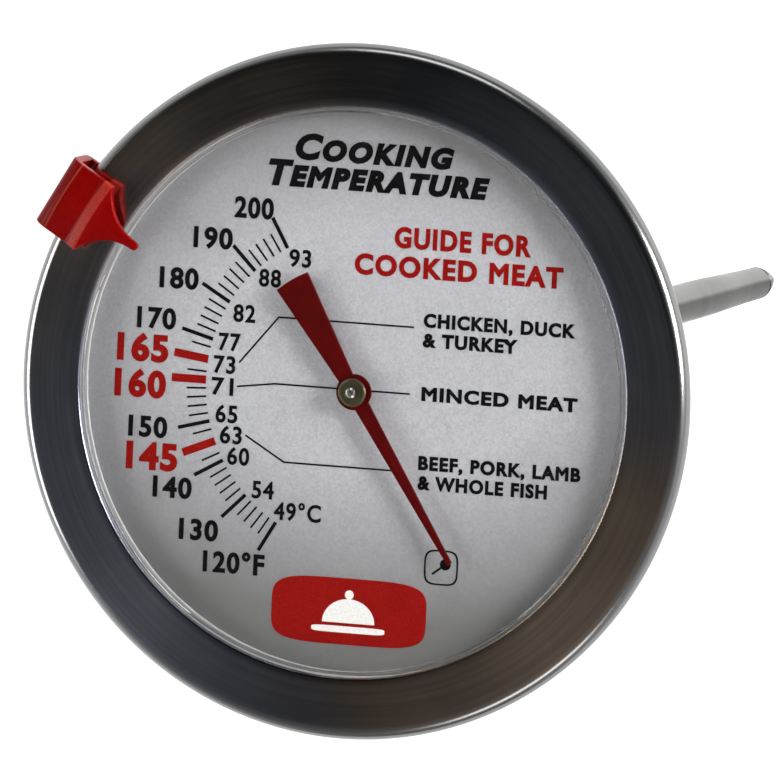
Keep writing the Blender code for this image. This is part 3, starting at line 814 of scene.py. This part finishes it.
def makeScale():
    # a mark every two degrees and a longer one every ten, with three red ones in their places
    s = scaleMarks
    values = np.arange(s["low"], s["high"] + 1, s["step"])
    red = np.array(s["redAt"])
    clear = np.abs(values[:, None] - red).min(axis=1) > 1
    tens = values % 10 == 0
    black = joined([bars(values[~tens & clear], s["inner"], s["minor"], s["minorWidth"]),
                    bars(values[tens & clear], s["inner"], s["major"], s["majorWidth"])])
    newObject("scaleMarks", meshOf("scaleMarks", *black), "head", blackInk)
    marks = bars(red, s["inner"], s["red"], s["redWidth"])
    newObject("scaleRedMarks", meshOf("scaleRedMarks", *marks), "head", redInk)


def flatCurve(name, kind):
    # an empty curve or text, held only until its mesh is read
    curve = bpy.data.curves.new(name, kind)
    holder = bpy.data.objects.new(name, curve)
    bpy.context.scene.collection.objects.link(holder)
    return curve, holder


def evaluated(holder):
    # the mesh of a curve or text, which is then removed
    bpy.context.view_layer.update()
    graph = bpy.context.evaluated_depsgraph_get()
    mesh = bpy.data.meshes.new_from_object(holder.evaluated_get(graph))
    curve = holder.data
    bpy.data.objects.remove(holder)
    bpy.data.curves.remove(curve)
    points = np.empty(len(mesh.vertices) * 3)
    mesh.vertices.foreach_get("co", points)
    return mesh, points.reshape(-1, 3)


def wordLoops(words, slant, smallCaps, spacing):
    # the outlines of the words in the built-in font, as closed loops; each loop's points follow
    # one another, and its closing edge is the only one between points that don't
    curve, holder = flatCurve("words", "FONT")
    curve.body = words
    curve.size = 1.0
    curve.shear = slant
    curve.fill_mode = "NONE"
    curve.resolution_u = 4
    curve.space_character = spacing
    curve.small_caps_scale = 0.79
    if smallCaps:
        for letter, style in zip(words, curve.body_format):
            style.use_small_caps = letter.islower()
    mesh, points = evaluated(holder)
    edges = np.empty(len(mesh.edges) * 2, int)
    mesh.edges.foreach_get("vertices", edges)
    edges = np.sort(edges.reshape(-1, 2), axis=1)
    bpy.data.meshes.remove(mesh)
    closing = edges[edges[:, 1] - edges[:, 0] > 1]
    closing = closing[np.argsort(closing[:, 0])]
    return [points[first:last + 1, :2] for first, last in closing]


def heavier(loop, amount):
    # moves each point out along its mitred normal: p + amount (n1 + n2) / (1 + n1.n2)
    step = loop - np.roll(loop, 1, axis=0)
    loop = loop[np.linalg.norm(step, axis=1) > 0.006]
    ahead = np.roll(loop, -1, axis=0) - loop
    ahead /= np.linalg.norm(ahead, axis=1)[:, None]
    normal = np.stack([ahead[:, 1], -ahead[:, 0]], axis=-1)
    before = np.roll(normal, 1, axis=0)
    share = np.maximum(1.0 + (normal * before).sum(axis=1), 0.35)
    return loop + amount * (normal + before) / share[:, None]


def loopArea(loop):
    # half the sum of the cross products of each point with the next
    ahead = np.roll(loop, -1, axis=0)
    return 0.5 * float((loop[:, 0] * ahead[:, 1] - ahead[:, 0] * loop[:, 1]).sum())


def filledLoops(loops, low, high):
    # a thin welded solid between two heights, with the inner loops left open
    curve, holder = flatCurve("print", "CURVE")
    curve.dimensions = "2D"
    curve.fill_mode = "BOTH"
    curve.extrude = 0.5
    for loop in loops:
        spline = curve.splines.new("POLY")
        spline.points.add(len(loop) - 1)
        flat = np.column_stack([loop, np.zeros(len(loop)), np.ones(len(loop))])
        spline.points.foreach_set("co", flat.ravel())
        spline.use_cyclic_u = True
    mesh, points = evaluated(holder)
    shape = bmesh.new()
    shape.from_mesh(mesh)
    # the front, the back and the sides come as separate sheets
    bmesh.ops.remove_doubles(shape, verts=shape.verts, dist=0.0005)
    bmesh.ops.recalc_face_normals(shape, faces=shape.faces)
    shape.to_mesh(mesh)
    shape.free()
    points = np.empty(len(mesh.vertices) * 3)
    mesh.vertices.foreach_get("co", points)
    points = points.reshape(-1, 3)
    points[:, 2] = np.where(points[:, 2] > 0, high, low)
    faces = [list(face.vertices) for face in mesh.polygons]
    bpy.data.meshes.remove(mesh)
    return points, faces


capitalHeight = np.ptp(wordLoops("H", 0.0, False, 1.0)[0][:, 1])


def printedWords(words, at, width, look):
    # scaled to its capital height and stretched to its width; at is in dial millimetres, and is the
    # middle of the words or the left end of their baseline
    bold, height = look["bold"], look["height"]
    loops = wordLoops(words, look.get("slant", 0.0), look.get("smallCaps", False), look["spacing"])
    turn = math.copysign(bold, sum(loopArea(loop) for loop in loops))
    loops = [heavier(loop, turn) for loop in loops]
    scale = height / (capitalHeight + 2 * bold)
    everything = np.vstack(loops)
    low, high = everything[:, 0].min(), everything[:, 0].max()
    stretch = width / (high - low)
    start = (low + high) / 2 if look["centred"] else low
    base = at[1] + bold * scale - (height / 2 if look["centred"] else 0.0)
    loops = [np.column_stack([(loop[:, 0] - start) * stretch + at[0], loop[:, 1] * scale + base])
             for loop in loops]
    return filledLoops(loops, inkLevel, inkLevel + scaleMarks["inkHeight"])


def printBlock(name, look, lines, ink):
    # several words or numbers as one piece; each line is (words, place, length)
    parts = [printedWords(words, at, width, look) for words, at, width in lines]
    newObject(name, meshOf(name, *joined(parts), 0.0), "head", ink)


# where each number stands on the dial, as (x, y) millimetres from its centre
fahrenheitNumbers = {"look": {"height": 1.95, "bold": 0.037, "spacing": 1.12, "centred": True},
                     "width": 3.75, "withUnit": [("120°F", (-11.1, -16.6), 5.9)],
                     "places": {"200": (-10.6, 16.0), "190": (-14.4, 13.0), "180": (-17.5, 9.1),
                                "170": (-19.5, 5.3), "150": (-19.9, -4.7), "140": (-17.3, -10.1),
                                "130": (-14.6, -13.8)}}
celsiusNumbers = {"look": {"height": 1.62, "bold": 0.026, "spacing": 1.12, "centred": True},
                  "width": 2.1, "withUnit": [("49°C", (-5.2, -11.5), 4.5)],
                  "places": {"93": (-6.0, 11.7), "88": (-8.8, 9.7), "82": (-11.1, 6.3), "77": (-12.4, 3.6),
                             "73": (-12.8, 1.5), "71": (-12.9, -0.5), "65": (-12.4, -3.0),
                             "63": (-11.9, -4.9), "60": (-11.1, -6.8), "54": (-8.6, -9.7)}}
redNumbers = {"look": {"height": 2.55, "bold": 0.048, "spacing": 1.12, "centred": True},
              "width": 4.95, "withUnit": [],
              "places": {"165": (-20.7, 2.5), "160": (-20.8, -0.8), "145": (-19.4, -7.4)}}


def makeNumbers():
    # each number is centred on its place, and the coldest one of a scale has its unit with it
    for name, numbers, ink in (("fahrenheitNumbers", fahrenheitNumbers, blackInk),
                               ("celsiusNumbers", celsiusNumbers, blackInk),
                               ("redNumbers", redNumbers, redInk)):
        lines = [(words, at, numbers["width"]) for words, at in numbers["places"].items()]
        printBlock(name, numbers["look"], lines + numbers["withUnit"], ink)


# words, start of the baseline (x, y) and length, all in millimetres
titleWords = {"look": {"height": 2.45, "bold": 0.054, "slant": 0.22, "smallCaps": True, "spacing": 1.18,
                       "centred": False},
              "lines": (("Cooking", (-6.9, 20.7), 15.1), ("Temperature", (-9.4, 18.2), 21.1))}
headingWords = {"look": {"height": 1.95, "bold": 0.046, "spacing": 1.16, "centred": False},
                "lines": (("GUIDE FOR", (2.9, 13.3), 13.0), ("COOKED MEAT", (-0.8, 10.65), 19.8))}
guideWords = {"look": {"height": 1.3, "bold": 0.050, "spacing": 1.16, "centred": False},
              "lines": (("CHICKEN, DUCK", (6.0, 6.25), 14.4), ("& TURKEY", (6.0, 4.45), 9.0),
                        ("MINCED MEAT", (6.1, -0.45), 14.8), ("BEEF, PORK, LAMB", (6.1, -6.75), 15.4),
                        ("& WHOLE FISH", (6.1, -8.55), 12.3))}


def makeWords():
    # the title, the red heading and the guide beside the leader lines
    printBlock("titleWords", titleWords["look"], titleWords["lines"], blackInk)
    printBlock("headingWords", headingWords["look"], headingWords["lines"], redInk)
    printBlock("guideWords", guideWords["look"], guideWords["lines"], blackInk)


leaderLines = {"width": 0.16, "paths": (((-11.4, 1.8), (-7.8, 6.2), (5.1, 6.2)),
                                        ((-11.5, -0.4), (-7.9, 0.1), (-1.1, 0.1)),
                                        ((1.1, 0.1), (5.0, 0.1)),
                                        ((-10.5, -4.8), (-6.7, -7.0), (4.0, -7.0)))}


def makeLeaders():
    # thin lines from the scale to the guide; the middle one is open at the spindle's hole
    top = inkLevel + scaleMarks["inkHeight"]
    parts = [ribbon(path, leaderLines["width"], inkLevel, top) for path in leaderLines["paths"]]
    mesh = meshOf("leaderLines", *joined(parts))
    outward(mesh)
    newObject("leaderLines", mesh, "head", blackInk)


emblem = {"centre": (0.1, -20.2), "halfWidth": 7.4, "halfHeight": 3.05, "squareness": 4.5,
          "domeHalf": 2.5, "domeRise": 2.2, "domeFoot": -1.05, "trayHalf": 3.5, "trayHeight": 0.3,
          "trayDrop": -1.65, "knob": 0.42, "knobRise": 1.55, "whiteHeight": 0.01}


def superEllipse(centre, halfWidth, halfHeight, power, count=96):
    # x = a |cos t|^(2/n) sign(cos t), y = b |sin t|^(2/n) sign(sin t)
    t = np.linspace(0.0, 2 * np.pi, count, endpoint=False)
    x = halfWidth * np.sign(np.cos(t)) * np.abs(np.cos(t)) ** (2 / power)
    y = halfHeight * np.sign(np.sin(t)) * np.abs(np.sin(t)) ** (2 / power)
    return np.stack([centre[0] + x, centre[1] + y], axis=-1)


def makeEmblem():
    # a plain red panel with a white serving dome: x = a cos t, y = b sin t over half a turn
    e = emblem
    cx, cy = e["centre"]
    top = inkLevel + scaleMarks["inkHeight"]
    outline = superEllipse((cx, cy), e["halfWidth"], e["halfHeight"], e["squareness"])
    newObject("emblemPanel", meshOf("emblemPanel", *plate(outline, inkLevel, top)), "head", redInk)
    half = np.radians(np.linspace(0, 180, 40))
    dome = np.stack([cx + e["domeHalf"] * np.cos(half), cy + e["domeFoot"] + e["domeRise"] * np.sin(half)],
                    axis=-1)
    tray = superEllipse((cx, cy + e["trayDrop"]), e["trayHalf"], e["trayHeight"], 5.0, 48)
    knob = superEllipse((cx, cy + e["knobRise"]), e["knob"], e["knob"], 2.0, 32)
    white = [plate(shape, top, top + e["whiteHeight"]) for shape in (dome, tray, knob)]
    newObject("emblemDome", meshOf("emblemDome", *joined(white)), "head", whiteInk)


probeSign = {"centre": (8.7, -15.5), "half": 1.62, "line": 0.16, "slope": 38.0, "face": 0.52,
             "faceOff": 0.5, "stemReach": 1.05, "stemWidth": 0.2}


def outlineBand(centre, half, line, power, low, high, count=64):
    # a closed flat line: an outer and an inner outline of the same rounded square, at two heights
    outer = superEllipse(centre, half, half, power, count)
    inner = superEllipse(centre, half - line, half - line, power, count)
    points = np.vstack([np.column_stack([flat, np.full(count, z)]) for flat, z in
                        ((outer, high), (outer, low), (inner, low), (inner, high))])
    k = np.arange(count)
    n = (k + 1) % count
    faces = []
    for row in range(4):
        a, b = row * count, (row + 1) % 4 * count
        faces += np.stack([a + k, b + k, b + n, a + n], axis=-1).tolist()
    return points, faces


def makeProbeSign():
    # a rounded square round a little stem thermometer
    p = probeSign
    cx, cy = p["centre"]
    top = inkLevel + scaleMarks["inkHeight"]
    slope = math.radians(p["slope"])
    dx, dy = math.cos(slope), math.sin(slope)
    face = superEllipse((cx + p["faceOff"] * dx, cy + p["faceOff"] * dy), p["face"], p["face"], 2.0, 40)
    end = (cx - p["stemReach"] * dx, cy - p["stemReach"] * dy)
    stem = ribbon([(cx, cy), end], p["stemWidth"], inkLevel, top)
    band = outlineBand(p["centre"], p["half"], p["line"], 4.0, inkLevel, top)
    mesh = meshOf("probeSign", *joined([band, plate(face, inkLevel, top), stem]))
    outward(mesh)
    newObject("probeSign", mesh, "head", blackInk)


makeScale()
makeNumbers()
makeWords()
makeLeaders()
makeEmblem()
makeProbeSign()
print("dial print ready")


stageLook = {"floorHalf": 1.6, "floorDrop": 0.4, "floorColour": (0.93, 0.93, 0.93), "floorGlow": 0.6}


def makeFloor():
    # one flat square just under the point
    half = stageLook["floorHalf"] * 1000.0
    z = tipLow.z / mm - stageLook["floorDrop"]
    points = [(-half, -half, z), (half, -half, z), (half, half, z), (-half, half, z)]
    mesh = meshOf("floor", points, [[0, 1, 2, 3]])
    floor = bpy.data.objects.new("floor", mesh)
    bpy.context.scene.collection.objects.link(floor)
    material, tree, shader = newMaterial("floorPale", stageLook["floorColour"], 0.8)
    pale = stageLook["floorColour"]
    cloud = blendColours(tree, objectNoise(tree, 6.0, 2.0), pale, tuple(c * 0.98 for c in pale))
    tree.links.new(cloud, shader.inputs["Base Color"])
    shader.inputs["Emission Color"].default_value = (1.0, 1.0, 1.0, 1.0)
    shader.inputs["Emission Strength"].default_value = stageLook["floorGlow"]
    mesh.materials.append(material)


skyLook = {"overhead": (0.004, 0.005, 0.004), "overheadFront": (0.140, 0.135, 0.135),
           "left": (0.55, 0.56, 0.58), "right": (0.62, 0.63, 0.66),
           "ends": (0.16, 0.16, 0.16), "strength": 1.0, "sideEdge": (0.25, 0.85),
           "horizonEdge": (0.15, 0.65), "frontEdge": (-0.30, 0.0)}


def makeSky():
    # dark overhead but for a paler part in front, and palest towards the left and right horizon
    k = skyLook
    world = bpy.data.worlds.new("studio")
    bpy.context.scene.world = world
    world.use_nodes = True
    tree = world.node_tree
    x, y, z = axesOf(tree, tree.nodes.new("ShaderNodeTexCoord").outputs["Generated"])
    near, far = k["sideEdge"]
    right = spread(tree, x, 0.0, 1.0, near, far)
    left = spread(tree, x, 1.0, 0.0, -far, -near)
    horizon = spread(tree, z, 1.0, 0.0, *k["horizonEdge"])
    front = spread(tree, y, 1.0, 0.0, *k["frontEdge"])
    sides = blendColours(tree, right, blendColours(tree, left, k["ends"], k["left"]), k["right"])
    overhead = blendColours(tree, front, k["overhead"], k["overheadFront"])
    shade = blendColours(tree, horizon, overhead, sides)
    background = tree.nodes["Background"]
    tree.links.new(shade, background.inputs["Color"])
    background.inputs["Strength"].default_value = k["strength"]


# lamps: direction round the dial and height above it in degrees, distance, size, power, colour
lamps = {"keyRight": (18.0, 24.0, 0.55, (0.24, 0.16), 2.35, (1.0, 0.99, 0.97)),
         "fillLeft": (186.0, 30.0, 0.60, (0.35, 0.25), 0.85, (1.0, 0.98, 0.95)),
         "fillTop": (95.0, 30.0, 0.70, (0.35, 0.20), 0.4, (1.0, 1.0, 1.0)),
         "fillFront": (285.0, 34.0, 0.70, (0.35, 0.20), 0.4, (1.0, 0.97, 0.94))}


def makeLamps():
    # each lamp faces the dial's middle from way = (cos a cos e, sin a cos e, sin e) times its distance
    aim = Vector((0.0, 0.0, dialTop))
    for name, (azimuth, elevation, distance, size, power, colour) in lamps.items():
        a, e = math.radians(azimuth), math.radians(elevation)
        way = Vector((math.cos(a) * math.cos(e), math.sin(a) * math.cos(e), math.sin(e)))
        light = bpy.data.lights.new(name, "AREA")
        light.shape = "RECTANGLE"
        light.size, light.size_y = size
        light.energy = power
        light.color = colour
        lamp = bpy.data.objects.new(name, light)
        lamp.location = aim + way * distance
        lamp.rotation_mode = "QUATERNION"
        lamp.rotation_quaternion = way.to_track_quat("Z", "Y")
        bpy.context.scene.collection.objects.link(lamp)


# camera: tilt off the dial's axis, the side it leans to and the roll, all in degrees
cameraPlace = {"tilt": 18.24, "side": 18.72, "roll": 2.57, "distance": 1.2, "aim": (0.00387, 0.00048),
               "lens": 609.5}


def makeCamera():
    # looks along -back, with back = (sin t cos s, sin t sin s, cos t), and rolled about it
    c = cameraPlace
    tilt, side = math.radians(c["tilt"]), math.radians(c["side"])
    back = Vector((math.sin(tilt) * math.cos(side), math.sin(tilt) * math.sin(side), math.cos(tilt)))
    up = Vector((0.0, 1.0, 0.0))
    up = (up - back * up.dot(back)).normalized()
    right = up.cross(back)
    roll = math.radians(c["roll"])
    turnedUp = up * math.cos(roll) - right * math.sin(roll)
    turnedRight = right * math.cos(roll) + up * math.sin(roll)
    place = Vector((*c["aim"], bezelHigh.z)) + back * c["distance"]
    camera = bpy.data.objects.new("camera", bpy.data.cameras.new("camera"))
    axes = Matrix((turnedRight, turnedUp, back)).transposed()
    camera.matrix_world = Matrix.Translation(place) @ axes.to_4x4()
    camera.data.sensor_width = 36.0
    camera.data.lens = c["lens"]
    camera.data.clip_start, camera.data.clip_end = 0.05, 20.0
    bpy.context.scene.collection.objects.link(camera)
    bpy.context.scene.camera = camera


makeFloor()
makeSky()
makeLamps()
makeCamera()
bpy.context.scene.view_settings.view_transform = "Standard"
print("stage, lamps and camera ready")
